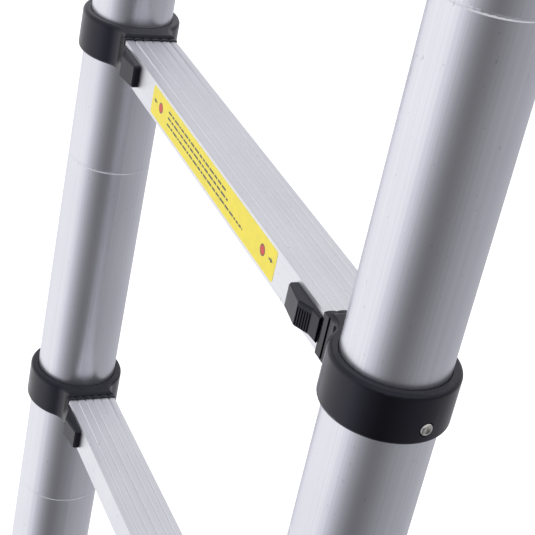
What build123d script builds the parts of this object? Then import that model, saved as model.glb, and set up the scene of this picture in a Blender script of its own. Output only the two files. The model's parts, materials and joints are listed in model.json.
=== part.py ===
from build123d import *
import os

# Telescopic ladder, drawn standing up and fully extended. X runs from the left
# stile to the right one, the front is -Y, and the feet stand on z = 0.
# Millimetres.

# ---- driving dimensions ----
section_count = 7
rung_pitch = 290.0
first_tread = 305.0
stile_spacing = 416.0

# stile tubes: each section slides inside the one below it
tube_diameter_1 = 61.5
diameter_step = 3.15
tube_wall = 1.25
tube_length = 316.0
ring_groove_drop = 106.5
ring_groove_radius = 1.3
ring_groove_depth = 0.45

# collars, measured down or up from the tread of their own section
collar_wall = 3.9
collar_rise = 2.2
collar_drop = 25.6
collar_seat_drop = 3.0
collar_top_radius = 2.4
collar_bottom_radius = 1.8
neck_reach = 43.0
neck_blend_radius = 12.0
flange_proud = 0.6
flange_rise = 0.9
flange_scallop = 0.5
flange_thickness = 3.2
flange_root = 5.6
tenon_length = 8.5
tenon_clearance = 0.15
lip_chamfer = 0.5

# fits
running_fit = 0.1
bush_fit = 0.08
seat_clearance = 0.05

# rungs
rung_depth = 35.5
rung_height = 23.0
rung_wall = 1.5
rung_corner_radius = 2.8
rung_bottom_radius = 1.0
tread_groove_count = 5
tread_groove_pitch = 6.15
tread_groove_offset = 0.9
tread_groove_depth = 0.7
tread_groove_width = 1.4
tread_crown = 0.12

# lock pins and their latches, distances along the rung from the stile's axis
pin_diameter = 6.0
pin_drop = 12.2
pin_tip_gap = 0.35
pin_end = 61.0
pin_hole_clearance = 0.3
pin_tip_chamfer = 0.5
latch_travel = 8.0
latch_start = 43.8
latch_ramp_foot = 51.0
latch_crest = 59.5
latch_end = 78.0
latch_start_proud = 1.9
latch_foot_proud = 2.5
latch_crest_proud = 6.9
latch_end_proud = 4.3
latch_top_drop = 3.2
latch_bottom_drop = 18.4
latch_gap = 0.3
latch_corner_radius = 2.0
latch_edge_bevel = 1.0
latch_groove_count = 6
latch_groove_width = 0.7
latch_groove_depth = 0.7
latch_groove_margin = 3.2
stem_start = 54.5
stem_width = 7.5
stem_height = 7.0
slot_clearance = 0.35
carrier_start = 53.5
carrier_length = 12.0
carrier_height = 10.0
carrier_front = 14.5
carrier_back = 8.0

# dome-head socket screws
screw_head_diameter = 6.9
screw_head_height = 2.2
screw_dome_radius = 1.6
screw_shank_diameter = 3.5
screw_socket_flats = 3.2
screw_socket_depth = 2.0
screw_recess_diameter = 7.8
screw_recess_depth = 1.2
screw_drop = 17.2
screw_angle = 9.0
rung_screw_shank = 6.0

# guide bushes on the lower ends of the sliding tubes
bush_flange_height = 4.0
bush_spigot_height = 10.0
bush_thickness = 2.2

# rubber feet and top caps
foot_wall = 4.0
foot_height = 42.0
foot_floor = 10.0
foot_edge_radius = 3.0
foot_groove_pitch = 9.0
foot_groove_width = 3.0
foot_groove_depth = 2.0
cap_height = 5.0
cap_plug_depth = 14.0
cap_plug_wall = 2.5
cap_edge_radius = 2.5

# ---- worked out from the driving dimensions ----
half_spacing = stile_spacing / 2
rung_length = stile_spacing - 2 * neck_reach
lip_step = diameter_step / 2 - running_fit
closed_gap = 0.3
slide_travel = rung_pitch - collar_drop - collar_rise - closed_gap
left_axis = (-half_spacing, 0)
sections = range(1, section_count + 1)
locking_sections = sections[:-1]
sliding_sections = sections[1:]


def tread(section):
    return first_tread + (section - 1) * rung_pitch


def tube_radius(section):
    return (tube_diameter_1 - (section - 1) * diameter_step) / 2


def collar_radius(section):
    return tube_radius(section) + collar_wall


def along_rung(distance):
    """X of a point at this distance from the left stile's axis, towards the rung."""
    return distance - half_spacing


def screw_plane(radius, height):
    """Plane on the outer side of the left stile, its normal pointing out of the collar."""
    outward = Vector(-1, 0, 0).rotate(Axis.Z, -screw_angle)
    centre = Vector(-half_spacing, 0, height) + outward * radius
    return Plane(origin=centre, x_dir=(0, 0, 1), z_dir=outward)


def pin_hole_plane(height):
    """Plane through the left stile's axis, its normal pointing along the rung."""
    return Plane(origin=(-half_spacing, 0, height), x_dir=(0, 1, 0), z_dir=(1, 0, 0))


def rung_end_plane(x, height):
    """Plane across the rung, with local x along Y and local y upwards."""
    return Plane(origin=(x, 0, height), x_dir=(0, 1, 0), z_dir=(1, 0, 0))


def save(builder, name):
    builder.part.label = name
    export_step(builder.part, f"parts/{name}.step")


def save_both_sides(builder, name, section):
    """Write the left piece, and its mirror image, which is the right one."""
    save(builder, f"{name}_left_{section}")
    with BuildPart() as right:
        add(mirror(builder.part, about=Plane.YZ, mode=Mode.PRIVATE))
    save(right, f"{name}_right_{section}")


def make_stile_tubes(section):
    radius = tube_radius(section)
    top = tread(section) - collar_seat_drop
    bottom = foot_floor if section == 1 else tread(section) - tube_length
    groove_height = tread(section) - ring_groove_drop
    with BuildPart() as tubes:
        with BuildSketch(Plane.XY.offset(bottom)):
            with Locations(left_axis):
                Circle(radius)
                Circle(radius - tube_wall, mode=Mode.SUBTRACT)
        extrude(amount=top - bottom)
        # shallow round-bottomed ring rolled into the outside
        groove_centre = -half_spacing - radius - ring_groove_radius + ring_groove_depth
        with BuildSketch(Plane.XZ):
            with Locations((groove_centre, groove_height)):
                Circle(ring_groove_radius)
        revolve(axis=Axis((-half_spacing, 0, 0), (0, 0, 1)), mode=Mode.SUBTRACT)
        # hole where this section's own pin passes, and hole where the pin below catches
        hole_heights = []
        if section in locking_sections:
            hole_heights.append(tread(section) - pin_drop)
        if section in sliding_sections:
            hole_heights.append(tread(section - 1) - pin_drop)
        for height in hole_heights:
            with BuildSketch(pin_hole_plane(height)):
                Circle(pin_diameter / 2 + pin_hole_clearance)
            extrude(amount=radius + 1, mode=Mode.SUBTRACT)
        # hole for the collar's screw
        with BuildSketch(screw_plane(0, tread(section) - screw_drop)):
            Circle(screw_shank_diameter / 2)
        extrude(amount=radius + 1, mode=Mode.SUBTRACT)
        mirror(about=Plane.YZ)
    save(tubes, f"stile_tubes_{section}")


def make_collars(section):
    radius = collar_radius(section)
    level = tread(section)
    neck_end = along_rung(neck_reach)
    with BuildPart() as collars:
        with BuildSketch(Plane.XY.offset(level - collar_drop)) as outline:
            with Locations(left_axis):
                Circle(radius)
                Rectangle(
                    neck_reach - flange_thickness, rung_depth, align=(Align.MIN, Align.CENTER)
                )
            corners = outline.vertices().filter_by_position(
                Axis.X, -half_spacing + 1, neck_end - flange_thickness - 1
            )
            fillet(corners, radius=neck_blend_radius)
        extrude(amount=collar_drop + collar_rise)
        fillet(collars.edges().group_by(Axis.Z)[-1], radius=collar_top_radius)
        fillet(collars.edges().group_by(Axis.Z)[0], radius=collar_bottom_radius)
        # scalloped flange that frames the end of the rung
        with BuildSketch(rung_end_plane(neck_end - flange_root, level)) as flange:
            with BuildLine():
                draw_flange_outline()
            make_face()
            round_rung_corners(flange)
        extrude(amount=flange_root)
        # tenon that fills the end of the rung
        inner_depth = rung_depth - 2 * rung_wall - 2 * tenon_clearance
        inner_height = rung_height - 2 * rung_wall - 2 * tenon_clearance - tread_groove_depth
        tenon_centre = level - tread_groove_depth / 2 - rung_height / 2
        with BuildSketch(Plane.YZ.offset(neck_end)):
            with Locations((0, tenon_centre)):
                RectangleRounded(inner_depth, inner_height, rung_bottom_radius)
        extrude(amount=tenon_length)
        # seat for the tube's end, and the lip that guides the tube above
        with BuildSketch(Plane.XY.offset(level - collar_drop)):
            with Locations(left_axis):
                Circle(tube_radius(section) + seat_clearance)
        extrude(amount=collar_drop - collar_seat_drop, mode=Mode.SUBTRACT)
        with BuildSketch(Plane.XY.offset(level - collar_drop)):
            with Locations(left_axis):
                Circle(tube_radius(section) - lip_step)
        extrude(amount=collar_drop + collar_rise, mode=Mode.SUBTRACT)
        top_height = level + collar_rise
        top = collars.edges().filter_by_position(Axis.Z, top_height - 0.01, top_height + 0.01)
        chamfer(top.filter_by(GeomType.CIRCLE).sort_by(SortBy.LENGTH)[-1], length=lip_chamfer)
        # bore for the lock pin
        if section in locking_sections:
            with BuildSketch(pin_hole_plane(level - pin_drop)):
                Circle(pin_diameter / 2 + running_fit)
            extrude(amount=neck_reach + tenon_length, mode=Mode.SUBTRACT)
        # recess and hole for the screw that holds the tube
        with BuildSketch(screw_plane(0, level - screw_drop)):
            Circle(screw_shank_diameter / 2)
        extrude(amount=radius + 1, mode=Mode.SUBTRACT)
        with BuildSketch(screw_plane(radius - screw_recess_depth, level - screw_drop)):
            Circle(screw_recess_diameter / 2)
        extrude(amount=collar_wall, mode=Mode.SUBTRACT)
        # hole for the screw that holds the rung
        tenon_middle = neck_end + tenon_length / 2
        with BuildSketch(Plane.XY.offset(level - rung_height)):
            with Locations((tenon_middle, 0)):
                Circle(screw_shank_diameter / 2)
        extrude(amount=rung_screw_shank, mode=Mode.SUBTRACT)
        mirror(about=Plane.YZ)
    save(collars, f"collars_{section}")


def draw_section_outline(breaks, gap, high, low, base, half_depth):
    """A section across the rung: arcs between the breaks on top, flat sides and base.

    Local x is Y, and local y is the height above the tread. Returns the ends of the arcs
    on either side of each break.
    """
    starts = [-half_depth] + [y + gap for y in breaks]
    ends = [y - gap for y in breaks] + [half_depth]
    for start, end in zip(starts, ends):
        ThreePointArc((start, low), ((start + end) / 2, high), (end, low))
    Polyline((half_depth, low), (half_depth, base), (-half_depth, base), (-half_depth, low))
    return zip(ends[:-1], breaks, starts[1:])


def groove_places():
    """Y of each groove in the tread."""
    first = tread_groove_offset - tread_groove_pitch * (tread_groove_count - 1) / 2
    return [first + n * tread_groove_pitch for n in range(tread_groove_count)]


def draw_rung_outline():
    """The rung's section: a tread of crowned bands between narrow grooves."""
    grooves = draw_section_outline(
        groove_places(), tread_groove_width / 2, 0, -tread_crown, -rung_height, rung_depth / 2
    )
    for start, bottom, end in grooves:
        Polyline((start, -tread_crown), (bottom, -tread_groove_depth), (end, -tread_crown))


def draw_flange_outline():
    """The flange's section: scallops that follow the tread's bands, a little higher."""
    draw_section_outline(
        groove_places(),
        0,
        flange_rise,
        flange_rise - flange_scallop,
        -rung_height - flange_proud,
        rung_depth / 2 + flange_proud,
    )


def round_rung_corners(profile):
    """Round the large corner at the front of the tread and the two corners of the base."""
    by_depth = profile.vertices().sort_by(Axis.Y)
    front_corners = ShapeList(by_depth[:2]).sort_by(Axis.Z)
    back_corners = ShapeList(by_depth[-2:]).sort_by(Axis.Z)
    fillet(front_corners[1], radius=rung_corner_radius)
    fillet([front_corners[0], back_corners[0]], radius=rung_bottom_radius)


def make_rung(section):
    level = tread(section)
    end_plane = rung_end_plane(-rung_length / 2, level)
    with BuildPart() as rung:
        with BuildSketch(end_plane) as profile:
            with BuildLine():
                draw_rung_outline()
            make_face()
            round_rung_corners(profile)
        extrude(amount=rung_length)
        # the hollow inside
        with BuildSketch(end_plane):
            with Locations((0, (-rung_height - tread_groove_depth) / 2)):
                RectangleRounded(
                    rung_depth - 2 * rung_wall,
                    rung_height - tread_groove_depth - 2 * rung_wall,
                    rung_bottom_radius,
                )
        extrude(amount=rung_length, mode=Mode.SUBTRACT)
        # slot in the front wall where the latch's stem travels
        if section in locking_sections:
            slot_length = stem_width + latch_travel + 2 * slot_clearance
            slot_middle = along_rung(stem_start - slot_clearance + slot_length / 2)
            with BuildSketch(Plane.XZ.offset(rung_depth / 2 - 2 * rung_wall)):
                with Locations((slot_middle, level - pin_drop)):
                    Rectangle(slot_length, stem_height + 2 * slot_clearance)
            extrude(amount=3 * rung_wall, mode=Mode.SUBTRACT)
            mirror(about=Plane.YZ, mode=Mode.INTERSECT)
        # holes in the base for the screws into the collars' tenons
        with BuildSketch(Plane.XY.offset(level - rung_height)):
            screw_x = rung_length / 2 - tenon_length / 2
            with Locations((-screw_x, 0), (screw_x, 0)):
                Circle(screw_shank_diameter / 2)
        extrude(amount=rung_wall, mode=Mode.SUBTRACT)
    save(rung, f"rung_{section}")


def draw_latch_outline():
    """The latch pad seen from above: a slope for the thumb, a crest and a long flat."""
    back = -rung_depth / 2 - latch_gap
    front = -rung_depth / 2
    Polyline(
        (along_rung(latch_start), back),
        (along_rung(latch_start), front - latch_start_proud),
        (along_rung(latch_ramp_foot), front - latch_foot_proud),
        (along_rung(latch_crest), front - latch_crest_proud),
        (along_rung(latch_end), front - latch_end_proud),
        (along_rung(latch_end), back),
        close=True,
    )


def make_latches(section):
    level = tread(section)
    back = -rung_depth / 2 - latch_gap
    pin_height = level - pin_drop
    slope_run = latch_crest - latch_ramp_foot
    slope_rise = latch_crest_proud - latch_foot_proud
    with BuildPart() as latch:
        with BuildSketch(Plane.XY.offset(level - latch_bottom_drop)):
            with BuildLine():
                draw_latch_outline()
            make_face()
        extrude(amount=latch_bottom_drop - latch_top_drop)
        # rounded corners at the end towards the middle of the rung
        inner_end = latch.faces().filter_by(Axis.X).sort_by(Axis.X)[-1]
        corner_edges = inner_end.edges().filter_by(Axis.Y)
        fillet(corner_edges, radius=latch_corner_radius)
        # bevel round the front, from the slope to the inner end
        front_faces = latch.faces().filter_by(lambda face: face.normal_at().Y < -0.5)
        rim = [e for e in front_faces.edges() if abs(e.tangent_at(0.5).Z) < 0.5]
        chamfer(rim, length=latch_edge_bevel)
        # grip grooves across the slope, open at the lower edge
        with BuildSketch(Plane.XY.offset(level - latch_bottom_drop)):
            for groove in range(latch_groove_count):
                share = (groove + 0.5) / latch_groove_count
                distance = along_rung(latch_ramp_foot + share * slope_run)
                proud = latch_foot_proud + share * slope_rise
                with Locations((distance, -rung_depth / 2 - proud)):
                    Rectangle(latch_groove_width, 2 * latch_groove_depth)
        extrude(amount=latch_bottom_drop - latch_top_drop - latch_groove_margin, mode=Mode.SUBTRACT)
        # stem through the rung's front wall
        stem_length = -carrier_front - back
        with BuildSketch(Plane.XZ.offset(carrier_front)):
            with Locations((along_rung(stem_start + stem_width / 2), pin_height)):
                Rectangle(stem_width, stem_height)
        extrude(amount=stem_length)
        # carrier inside the rung, bored for the lock pin
        carrier_middle = along_rung(carrier_start + carrier_length / 2)
        with BuildSketch(Plane.XZ.offset(-carrier_back)):
            with Locations((carrier_middle, pin_height)):
                RectangleRounded(carrier_length, carrier_height, rung_bottom_radius)
        extrude(amount=carrier_front + carrier_back)
        with BuildSketch(pin_hole_plane(pin_height)):
            Circle(pin_diameter / 2)
        extrude(amount=pin_end, mode=Mode.SUBTRACT)
    save_both_sides(latch, "latch", section)


def make_lock_pins(section):
    tip = tube_radius(section + 1) + pin_tip_gap
    with BuildPart() as pin:
        with BuildSketch(pin_hole_plane(tread(section) - pin_drop).offset(tip)):
            Circle(pin_diameter / 2)
        extrude(amount=pin_end - tip)
        chamfer(pin.edges().sort_by(Axis.X)[0], length=pin_tip_chamfer)
    save_both_sides(pin, "lock_pin", section)


def dome_head_screw(seat, shank_length):
    """A dome-head screw whose head stands on the seat plane, facing its normal."""
    with BuildPart() as screw:
        with BuildSketch(seat):
            Circle(screw_head_diameter / 2)
        extrude(amount=screw_head_height)
        outer = screw.faces().filter_by(lambda face: face.normal_at().dot(seat.z_dir) > 0.99)
        fillet(outer.edges(), radius=screw_dome_radius)
        with BuildSketch(seat.offset(screw_head_height)):
            RegularPolygon(screw_socket_flats / 2, 6, major_radius=False)
        extrude(amount=-screw_socket_depth, mode=Mode.SUBTRACT)
        with BuildSketch(seat):
            Circle(screw_shank_diameter / 2)
        extrude(amount=-shank_length)
    return screw.part


def make_screws(section):
    level = tread(section)
    seat_radius = collar_radius(section) - screw_recess_depth
    collar_screw_shank = seat_radius - tube_radius(section) + tube_wall - seat_clearance
    tenon_middle = along_rung(neck_reach + tenon_length / 2)
    under_rung = Plane(origin=(tenon_middle, 0, level - rung_height), z_dir=(0, 0, -1))
    with BuildPart() as screws:
        add(dome_head_screw(screw_plane(seat_radius, level - screw_drop), collar_screw_shank))
        add(dome_head_screw(under_rung, rung_screw_shank))
        mirror(about=Plane.YZ)
    save(screws, f"screws_{section}")


def make_guide_bushes(section):
    bore = tube_radius(section) - tube_wall
    flange_radius = tube_radius(section - 1) - tube_wall - bush_fit
    tube_bottom = tread(section) - tube_length
    with BuildPart() as bushes:
        with BuildSketch(Plane.XY.offset(tube_bottom - bush_flange_height)):
            with Locations(left_axis):
                Circle(flange_radius)
        extrude(amount=bush_flange_height)
        with BuildSketch(Plane.XY.offset(tube_bottom)):
            with Locations(left_axis):
                Circle(bore - seat_clearance)
        extrude(amount=bush_spigot_height)
        with BuildSketch(Plane.XY.offset(tube_bottom - bush_flange_height)):
            with Locations(left_axis):
                Circle(bore - bush_thickness)
        extrude(amount=bush_flange_height + bush_spigot_height, mode=Mode.SUBTRACT)
        mirror(about=Plane.YZ)
    save(bushes, f"guide_bushes_{section}")


def make_feet():
    radius = tube_radius(1) + foot_wall
    with BuildPart() as feet:
        with BuildSketch():
            with Locations(left_axis):
                Circle(radius)
        extrude(amount=foot_height)
        fillet(feet.edges().group_by(Axis.Z)[-1], radius=foot_edge_radius)
        chamfer(feet.edges().group_by(Axis.Z)[0], length=foot_groove_depth)
        with BuildSketch(Plane.XY.offset(foot_floor)):
            with Locations(left_axis):
                Circle(tube_radius(1) + seat_clearance)
        extrude(amount=foot_height, mode=Mode.SUBTRACT)
        # grip grooves across the sole, with a land in the middle
        with BuildSketch():
            for side in (-1, 1):
                for step in (0.5, 1.5, 2.5):
                    with Locations((-half_spacing, side * step * foot_groove_pitch)):
                        Rectangle(2 * radius, foot_groove_width)
        extrude(amount=foot_groove_depth, mode=Mode.SUBTRACT)
        mirror(about=Plane.YZ)
    save(feet, "rubber_feet")


def make_top_caps():
    top = tread(section_count) + collar_rise
    plug_radius = tube_radius(section_count) - lip_step - seat_clearance
    with BuildPart() as caps:
        with BuildSketch(Plane.XY.offset(top)):
            with Locations(left_axis):
                Circle(collar_radius(section_count) - collar_top_radius)
        extrude(amount=cap_height)
        fillet(caps.edges().group_by(Axis.Z)[-1], radius=cap_edge_radius)
        with BuildSketch(Plane.XY.offset(top - cap_plug_depth)):
            with Locations(left_axis):
                Circle(plug_radius)
                Circle(plug_radius - cap_plug_wall, mode=Mode.SUBTRACT)
        extrude(amount=cap_plug_depth)
        mirror(about=Plane.YZ)
    save(caps, "top_caps")


os.makedirs("parts", exist_ok=True)
make_feet()
make_top_caps()
for section in sections:
    make_stile_tubes(section)
    make_collars(section)
    make_rung(section)
    make_screws(section)
for section in locking_sections:
    make_latches(section)
    make_lock_pins(section)
for section in sliding_sections:
    make_guide_bushes(section)
print(f"slide travel {slide_travel:.1f} mm, rung length {rung_length:.1f} mm")
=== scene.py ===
import json
import math

import bmesh
import bpy
from mathutils import Matrix, Vector


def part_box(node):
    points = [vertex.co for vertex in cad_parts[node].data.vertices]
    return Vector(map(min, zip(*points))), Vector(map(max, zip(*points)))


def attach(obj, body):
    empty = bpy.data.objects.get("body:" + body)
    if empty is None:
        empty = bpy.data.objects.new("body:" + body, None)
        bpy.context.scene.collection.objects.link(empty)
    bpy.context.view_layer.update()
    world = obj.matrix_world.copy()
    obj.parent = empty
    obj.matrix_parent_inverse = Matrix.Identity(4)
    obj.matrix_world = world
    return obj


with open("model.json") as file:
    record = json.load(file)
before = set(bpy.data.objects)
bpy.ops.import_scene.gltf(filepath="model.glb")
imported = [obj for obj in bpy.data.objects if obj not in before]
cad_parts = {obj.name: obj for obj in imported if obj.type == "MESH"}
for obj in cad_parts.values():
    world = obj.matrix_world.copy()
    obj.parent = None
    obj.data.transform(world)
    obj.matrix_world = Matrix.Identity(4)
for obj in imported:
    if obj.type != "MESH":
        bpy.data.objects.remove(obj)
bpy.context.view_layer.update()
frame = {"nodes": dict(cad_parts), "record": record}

# The camera stands to the right of the ladder and above it, rolled a little.
CAMERA_AZIMUTH = 61.92
CAMERA_ELEVATION = 28.85
CAMERA_ROLL = 12.52
CAMERA_PLACE = (0.7259, -0.3537, 0.9722)
CAMERA_LENS = 103.7
CAMERA_CLIP_START = 0.01
SENSOR_WIDTH = 36.0

FLOOR_SIZE = 60.0

# The sticker on the front of one rung. Lengths are in metres, x from the middle of
# the rung and heights down from its tread.
LABEL_RUNG = "rung_2"
LABEL_BODY = "section_2"
LABEL_LEFT = -0.1020
LABEL_RIGHT = 0.1045
LABEL_TOP = 0.0020
LABEL_BOTTOM = 0.0208
LABEL_CORNER = 0.0022
LABEL_THICKNESS = 0.00012
INK_THICKNESS = 0.00002
# Rows of plain bars: (first x, last x, drop of the row's middle).
LABEL_ROWS = (
    (-0.072, 0.028, 0.0068),
    (-0.072, 0.033, 0.0106),
    (-0.072, 0.058, 0.0148),
)
BAR_LENGTHS = (0.0058, 0.0034, 0.0071, 0.0024, 0.0047, 0.0063, 0.0029, 0.0052)
BARS_BEFORE_SKIP = 7
BAR_GAP = 0.0012
BAR_HEIGHT = 0.0013
DOT_PLACES = (-0.0855, 0.0865)
DOT_DROP = 0.0108
DOT_RADIUS = 0.0034
DOT_RIM = 0.0006
ARROW_PLACES = ((-0.0955, -1), (0.0980, 1))
ARROW_DROP = 0.0104
ARROW_HALF_LENGTH = 0.0028
ARROW_SHAFT = 0.0005
ARROW_HEAD = 0.0015

# Round outlines: steps along a rounded corner, and points round a dot.
CORNER_STEPS = 6
DOT_POINTS = 36

FLOOR_COLOUR = (0.93, 0.93, 0.93)
FLOOR_ROUGHNESS = 0.9
WHITE = (1.0, 1.0, 1.0)
CLOUD_SHADE = (0.94, 0.94, 0.95)
SPECK_SHADE = (0.80, 0.80, 0.82)
PLASTIC_SHINE_TINT = (0.80, 0.78, 1.0)

# How fine each surface's marks are: one over their size in metres, along each axis.
FINE_LINES = 900.0
LONG_LINES = 1.2
CLOUD_SCALE = (14.0, 14.0, 9.0)
SPECK_SCALE = (420.0, 420.0, 260.0)
MOULD_GRAIN_SCALE = (1150.0, 1150.0, 1150.0)
MOULD_PATCH_SCALE = (45.0, 45.0, 45.0)
STEEL_MARK_SCALE = (900.0, 900.0, 900.0)
INK_WEAR_SCALE = (160.0, 160.0, 160.0)

# How high they stand, in metres.
EXTRUSION_LINE_HEIGHT = 0.00002
MOULD_GRAIN_HEIGHT = 0.000007
RUBBER_GRAIN_HEIGHT = 0.00002

# What a vertical wall of the studio looks like: (azimuth in degrees, brightness).
STUDIO_WALLS = (
    (-180, 0.46),
    (-140, 0.55),
    (-100, 0.78),
    (-60, 1.12),
    (-30, 1.50),
    (-5, 1.12),
    (20, 0.50),
    (45, 0.20),
    (62, 0.13),
    (85, 0.20),
    (110, 0.33),
    (145, 0.40),
    (180, 0.46),
)
CEILING_BRIGHTNESS = 0.78
# The walls fade into the ceiling between these two heights of a unit direction.
CEILING_START = 0.2
CEILING_FULL = 0.6
LAMP_PLACE = (0.0, 0.5, 6.0)
LAMP_TARGET = (0.0, 0.5, 0.0)
LAMP_SIZE = 8.0
LAMP_POWER = 420.0


# ---- node helpers ----
def new_material(name):
    """A new material, its node tree and its shader."""
    material = bpy.data.materials.new(name)
    material.use_nodes = True
    tree = material.node_tree
    return material, tree, tree.nodes["Principled BSDF"]


def add_node(tree, kind, **settings):
    """Add a node and set its own options, such as its operation."""
    node = tree.nodes.new(kind)
    for key, value in settings.items():
        setattr(node, key, value)
    return node


def object_coordinates(tree, scale):
    """Object coordinates, which are the row frame's metres, scaled along each axis."""
    coordinates = tree.nodes.new("ShaderNodeTexCoord")
    mapping = tree.nodes.new("ShaderNodeMapping")
    mapping.inputs["Scale"].default_value = scale
    tree.links.new(coordinates.outputs["Object"], mapping.inputs["Vector"])
    return mapping.outputs["Vector"]


def noise(tree, scale, detail=3.0, roughness=0.5):
    """Noise whose grain is one over the scale, in metres, along each axis."""
    texture = tree.nodes.new("ShaderNodeTexNoise")
    texture.inputs["Scale"].default_value = 1.0
    texture.inputs["Detail"].default_value = detail
    texture.inputs["Roughness"].default_value = roughness
    tree.links.new(object_coordinates(tree, scale), texture.inputs["Vector"])
    return texture.outputs["Fac"]


def ramp(tree, factor, stops, interpolation="LINEAR"):
    """A colour ramp over (position, colour) stops."""
    node = tree.nodes.new("ShaderNodeValToRGB")
    node.color_ramp.interpolation = interpolation
    elements = node.color_ramp.elements
    while len(elements) < len(stops):
        elements.new(0.5)
    for element, (position, colour) in zip(elements, stops):
        element.position = position
        element.color = (*colour, 1.0)
    tree.links.new(factor, node.inputs["Fac"])
    return node.outputs["Color"]


def remap(tree, factor, low, high, to_low, to_high):
    node = tree.nodes.new("ShaderNodeMapRange")
    for name, value in zip(("From Min", "From Max", "To Min", "To Max"), (low, high, to_low, to_high)):
        node.inputs[name].default_value = value
    tree.links.new(factor, node.inputs["Value"])
    return node.outputs["Result"]


def bump(tree, height, distance):
    node = tree.nodes.new("ShaderNodeBump")
    node.inputs["Strength"].default_value = 1.0
    node.inputs["Distance"].default_value = distance
    tree.links.new(height, node.inputs["Height"])
    return node.outputs["Normal"]


def multiply_colours(tree, first, second):
    node = add_node(tree, "ShaderNodeMix", data_type="RGBA", blend_type="MULTIPLY")
    node.inputs["Factor"].default_value = 1.0
    tree.links.new(first, node.inputs["A"])
    tree.links.new(second, node.inputs["B"])
    return node.outputs["Result"]


# ---- materials ----
def extruded_aluminium(name, bright, dull, line_scale, roughness):
    """Satin anodised aluminium with fine lines along the way it was extruded."""
    material, tree, shader = new_material(name)
    lines = noise(tree, line_scale, detail=4.0, roughness=0.65)
    cloud = noise(tree, CLOUD_SCALE, detail=2.0)
    tone = ramp(tree, lines, [(0.30, dull), (0.70, bright)])
    mottled = ramp(tree, cloud, [(0.35, CLOUD_SHADE), (0.65, WHITE)])
    # scattered specks and rubbed spots, as on a ladder that has been handled
    specks = noise(tree, SPECK_SCALE, detail=2.0)
    spotted = ramp(tree, specks, [(0.70, WHITE), (0.76, SPECK_SHADE)])
    finish = multiply_colours(tree, multiply_colours(tree, tone, mottled), spotted)
    tree.links.new(finish, shader.inputs["Base Color"])
    shader.inputs["Metallic"].default_value = 1.0
    tree.links.new(
        remap(tree, lines, 0.3, 0.7, roughness + 0.05, roughness - 0.03),
        shader.inputs["Roughness"],
    )
    tree.links.new(bump(tree, lines, EXTRUSION_LINE_HEIGHT), shader.inputs["Normal"])
    return material


def moulded_plastic(name, colour, roughness, grain=MOULD_GRAIN_HEIGHT, shine=0.5):
    """Moulded plastic or rubber with a fine spark-eroded grain."""
    material, tree, shader = new_material(name)
    grains = noise(tree, MOULD_GRAIN_SCALE)
    patches = noise(tree, MOULD_PATCH_SCALE)
    pale = tuple(min(1.0, c * 1.35) for c in colour)
    tree.links.new(ramp(tree, patches, [(0.35, colour), (0.7, pale)]), shader.inputs["Base Color"])
    tree.links.new(
        remap(tree, patches, 0.3, 0.7, roughness - 0.05, roughness + 0.06),
        shader.inputs["Roughness"],
    )
    tree.links.new(bump(tree, grains, grain), shader.inputs["Normal"])
    shader.inputs["Specular IOR Level"].default_value = shine
    shader.inputs["Specular Tint"].default_value = (*PLASTIC_SHINE_TINT, 1.0)
    return material


def turned_steel(name, colour, roughness):
    """Bright steel with faint tool marks."""
    material, tree, shader = new_material(name)
    marks = noise(tree, STEEL_MARK_SCALE)
    dark = tuple(c * 0.82 for c in colour)
    tree.links.new(ramp(tree, marks, [(0.35, dark), (0.65, colour)]), shader.inputs["Base Color"])
    shader.inputs["Metallic"].default_value = 1.0
    tree.links.new(
        remap(tree, marks, 0.3, 0.7, roughness, roughness + 0.12), shader.inputs["Roughness"]
    )
    return material


def printed_ink(name, colour, roughness=0.4):
    """Printed colour, slightly worn in patches."""
    material, tree, shader = new_material(name)
    patches = noise(tree, INK_WEAR_SCALE)
    worn = tuple(0.9 * c + 0.02 for c in colour)
    tree.links.new(ramp(tree, patches, [(0.3, worn), (0.7, colour)]), shader.inputs["Base Color"])
    shader.inputs["Roughness"].default_value = roughness
    return material


def matte_floor():
    material, _, shader = new_material("studio_floor")
    shader.inputs["Base Color"].default_value = (*FLOOR_COLOUR, 1.0)
    shader.inputs["Roughness"].default_value = FLOOR_ROUGHNESS
    return material


slot_materials = {
    "tube_aluminium": extruded_aluminium(
        "tube_aluminium", (0.87, 0.87, 0.925), (0.79, 0.79, 0.855),
        (FINE_LINES, FINE_LINES, LONG_LINES), 0.31,
    ),
    "rung_aluminium": extruded_aluminium(
        "rung_aluminium", (0.90, 0.90, 0.95), (0.83, 0.83, 0.885),
        (LONG_LINES, FINE_LINES, FINE_LINES), 0.42,
    ),
    "collar_nylon": moulded_plastic("collar_nylon", (0.0010, 0.0010, 0.0024), 0.23),
    "latch_nylon": moulded_plastic("latch_nylon", (0.0016, 0.0016, 0.0032), 0.28),
    "bush_plastic": moulded_plastic("bush_plastic", (0.05, 0.05, 0.05), 0.4),
    "cap_plastic": moulded_plastic("cap_plastic", (0.0020, 0.0020, 0.0034), 0.32),
    "foot_rubber": moulded_plastic(
        "foot_rubber", (0.012, 0.012, 0.013), 0.7, grain=RUBBER_GRAIN_HEIGHT, shine=0.3
    ),
    "pin_steel": turned_steel("pin_steel", (0.6, 0.6, 0.6), 0.25),
    "screw_steel": turned_steel("screw_steel", (0.74, 0.73, 0.70), 0.14),
}


def paint_nodes():
    for part in frame["record"]["subparts"]:
        mesh = frame["nodes"][part["node"]].data
        mesh.materials.clear()
        mesh.materials.append(slot_materials[part["material_slot"]])


# ---- the label ----
def flat_prism(build, outline, back, front):
    """Add a closed prism to a bmesh: an outline of (x, z) points between two depths."""
    near = [build.verts.new((x, front, z)) for x, z in outline]
    far = [build.verts.new((x, back, z)) for x, z in outline]
    build.faces.new(near)
    build.faces.new(list(reversed(far)))
    for i in range(len(outline)):
        j = (i + 1) % len(outline)
        build.faces.new((near[j], near[i], far[i], far[j]))


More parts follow.
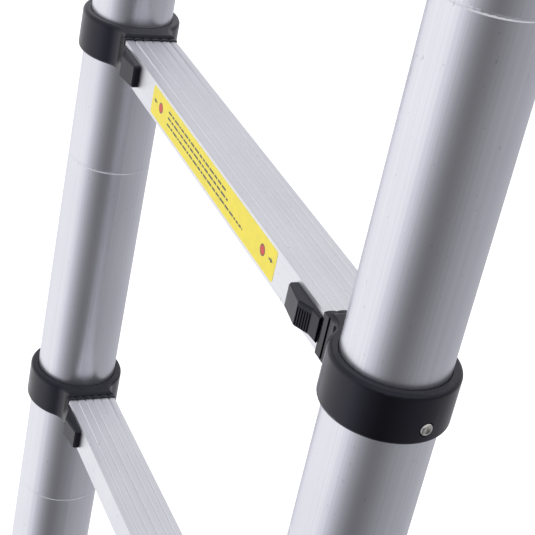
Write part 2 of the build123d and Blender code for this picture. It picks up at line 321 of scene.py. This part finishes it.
def arc(centre_x, centre_z, radius, start, end, steps):
    """Points along an arc between two angles in degrees."""
    angles = [math.radians(start + (end - start) * i / steps) for i in range(steps + 1)]
    return [(centre_x + radius * math.cos(a), centre_z + radius * math.sin(a)) for a in angles]


def rounded_rectangle(left, bottom, right, top, radius):
    outline = arc(left + radius, bottom + radius, radius, 180, 270, CORNER_STEPS)
    outline += arc(right - radius, bottom + radius, radius, 270, 360, CORNER_STEPS)
    outline += arc(right - radius, top - radius, radius, 0, 90, CORNER_STEPS)
    outline += arc(left + radius, top - radius, radius, 90, 180, CORNER_STEPS)
    return outline


def disc(centre_x, centre_z, radius):
    last_angle = 360 - 360 / DOT_POINTS
    return arc(centre_x, centre_z, radius, 0, last_angle, DOT_POINTS - 1)


def arrow(centre_x, centre_z, direction):
    """A plain arrow, its point in the given direction along X."""
    half = ARROW_HALF_LENGTH
    shaft = ARROW_SHAFT
    head = ARROW_HEAD
    neck = half - 2 * head
    points = [
        (-half, -shaft), (neck, -shaft), (neck, -head), (half, 0.0),
        (neck, head), (neck, shaft), (-half, shaft),
    ]
    placed = [(centre_x + direction * x, centre_z + z) for x, z in points]
    return placed if direction > 0 else placed[::-1]


def bar_row(first, last, middle):
    """Plain bars of varying length that fill a row, in place of printed words."""
    bars = []
    left = first
    turn = 0
    while left < last:
        right = min(left + BAR_LENGTHS[turn % len(BAR_LENGTHS)], last)
        bottom = middle - BAR_HEIGHT / 2
        bars.append(rounded_rectangle(left, bottom, right, bottom + BAR_HEIGHT, BAR_HEIGHT / 4))
        left = right + BAR_GAP
        # skip more and more lengths along the row, so that it doesn't repeat evenly
        turn += 1 + len(bars) // BARS_BEFORE_SKIP
    return bars


def make_label_piece(name, outlines, back, front, material):
    """One piece of the sticker: a prism for each outline, riding on the rung's section."""
    build = bmesh.new()
    for outline in outlines:
        flat_prism(build, outline, back, front)
    bmesh.ops.recalc_face_normals(build, faces=build.faces)
    mesh = bpy.data.meshes.new(name)
    build.to_mesh(mesh)
    build.free()
    mesh.materials.append(material)
    piece = bpy.data.objects.new(name, mesh)
    bpy.context.scene.collection.objects.link(piece)
    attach(piece, LABEL_BODY)


def make_label():
    """A yellow sticker with rows of plain bars, two dots and two arrows."""
    lowest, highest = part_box(LABEL_RUNG)
    face = lowest[1]
    tread = highest[2]
    sheet_front = face - LABEL_THICKNESS
    rim_front = sheet_front - INK_THICKNESS
    dot_front = rim_front - INK_THICKNESS
    sheet = rounded_rectangle(
        LABEL_LEFT, tread - LABEL_BOTTOM, LABEL_RIGHT, tread - LABEL_TOP, LABEL_CORNER
    )
    yellow = printed_ink("label_yellow", (0.86, 0.72, 0.035))
    black = printed_ink("label_black", (0.045, 0.045, 0.045))
    red = printed_ink("label_red", (0.62, 0.035, 0.025))
    make_label_piece("label_sheet", [sheet], face, sheet_front, yellow)
    bars = [bar for first, last, drop in LABEL_ROWS for bar in bar_row(first, last, tread - drop)]
    arrows = [arrow(x, tread - ARROW_DROP, side) for x, side in ARROW_PLACES]
    rims = [disc(x, tread - DOT_DROP, DOT_RADIUS) for x in DOT_PLACES]
    dots = [disc(x, tread - DOT_DROP, DOT_RADIUS - DOT_RIM) for x in DOT_PLACES]
    make_label_piece("label_bars", bars, sheet_front, rim_front, black)
    make_label_piece("label_arrows", arrows, sheet_front, rim_front, black)
    make_label_piece("label_rims", rims, sheet_front, rim_front, black)
    make_label_piece("label_dots", dots, rim_front, dot_front, red)


# ---- the studio ----
def make_floor():
    mesh = bpy.data.meshes.new("floor")
    half = FLOOR_SIZE / 2
    corners = [(-half, -half, 0), (half, -half, 0), (half, half, 0), (-half, half, 0)]
    mesh.from_pydata(corners, [], [(0, 1, 2, 3)])
    floor = bpy.data.objects.new("floor", mesh)
    bpy.context.scene.collection.objects.link(floor)
    mesh.materials.append(matte_floor())
    floor.visible_glossy = False


def wall_colour(brightness):
    """Nearly grey, and bluer where the wall is brighter."""
    return (brightness, brightness, brightness * (1.02 + 0.07 * brightness))


def make_world():
    """A soft studio: bright on the front left, darker on the right, pale above."""
    world = bpy.data.worlds.new("studio")
    bpy.context.scene.world = world
    world.use_nodes = True
    tree = world.node_tree
    background = tree.nodes["Background"]
    direction = tree.nodes.new("ShaderNodeTexCoord").outputs["Generated"]
    parts = tree.nodes.new("ShaderNodeSeparateXYZ")
    tree.links.new(direction, parts.inputs["Vector"])
    flip = add_node(tree, "ShaderNodeMath", operation="MULTIPLY")
    flip.inputs[1].default_value = -1.0
    tree.links.new(parts.outputs["Y"], flip.inputs[0])
    azimuth = add_node(tree, "ShaderNodeMath", operation="ARCTAN2")
    tree.links.new(parts.outputs["X"], azimuth.inputs[0])
    tree.links.new(flip.outputs[0], azimuth.inputs[1])
    turn = remap(tree, azimuth.outputs[0], -math.pi, math.pi, 0.0, 1.0)
    stops = [((a + 180) / 360, wall_colour(brightness)) for a, brightness in STUDIO_WALLS]
    walls = ramp(tree, turn, stops, interpolation="B_SPLINE")
    upward = remap(tree, parts.outputs["Z"], CEILING_START, CEILING_FULL, 0.0, 1.0)
    mix = add_node(tree, "ShaderNodeMix", data_type="RGBA")
    tree.links.new(upward, mix.inputs["Factor"])
    tree.links.new(walls, mix.inputs["A"])
    mix.inputs["B"].default_value = (*[CEILING_BRIGHTNESS] * 3, 1.0)
    tree.links.new(mix.outputs["Result"], background.inputs["Color"])
    background.inputs["Strength"].default_value = 1.0


def make_lamp():
    """One large disc of light overhead, which doesn't show in reflections."""
    light = bpy.data.lights.new("overhead", "AREA")
    light.shape = "DISK"
    light.size = LAMP_SIZE
    light.energy = LAMP_POWER
    holder = bpy.data.objects.new("overhead", light)
    bpy.context.scene.collection.objects.link(holder)
    holder.location = LAMP_PLACE
    aim = Vector(LAMP_TARGET) - Vector(LAMP_PLACE)
    holder.rotation_mode = "QUATERNION"
    holder.rotation_quaternion = aim.to_track_quat("-Z", "Y")
    holder.visible_glossy = False
    holder.visible_camera = False


def make_camera():
    azimuth = math.radians(CAMERA_AZIMUTH)
    elevation = math.radians(CAMERA_ELEVATION)
    roll = math.radians(CAMERA_ROLL)
    back = Vector((
        math.sin(azimuth) * math.cos(elevation),
        -math.cos(azimuth) * math.cos(elevation),
        math.sin(elevation),
    ))
    right = Vector((math.cos(azimuth), math.sin(azimuth), 0.0))
    up = back.cross(right)
    rolled_right = right * math.cos(roll) + up * math.sin(roll)
    rolled_up = up * math.cos(roll) - right * math.sin(roll)
    camera = bpy.data.cameras.new("camera")
    camera.lens = CAMERA_LENS
    camera.sensor_width = SENSOR_WIDTH
    camera.clip_start = CAMERA_CLIP_START
    holder = bpy.data.objects.new("camera", camera)
    bpy.context.scene.collection.objects.link(holder)
    axes = Matrix((rolled_right, rolled_up, back)).transposed()
    holder.matrix_world = Matrix.Translation(CAMERA_PLACE) @ axes.to_4x4()
    bpy.context.scene.camera = holder


make_camera()
make_world()
make_lamp()
make_floor()
paint_nodes()
make_label()

bpy.context.scene.view_settings.view_transform = "Standard"
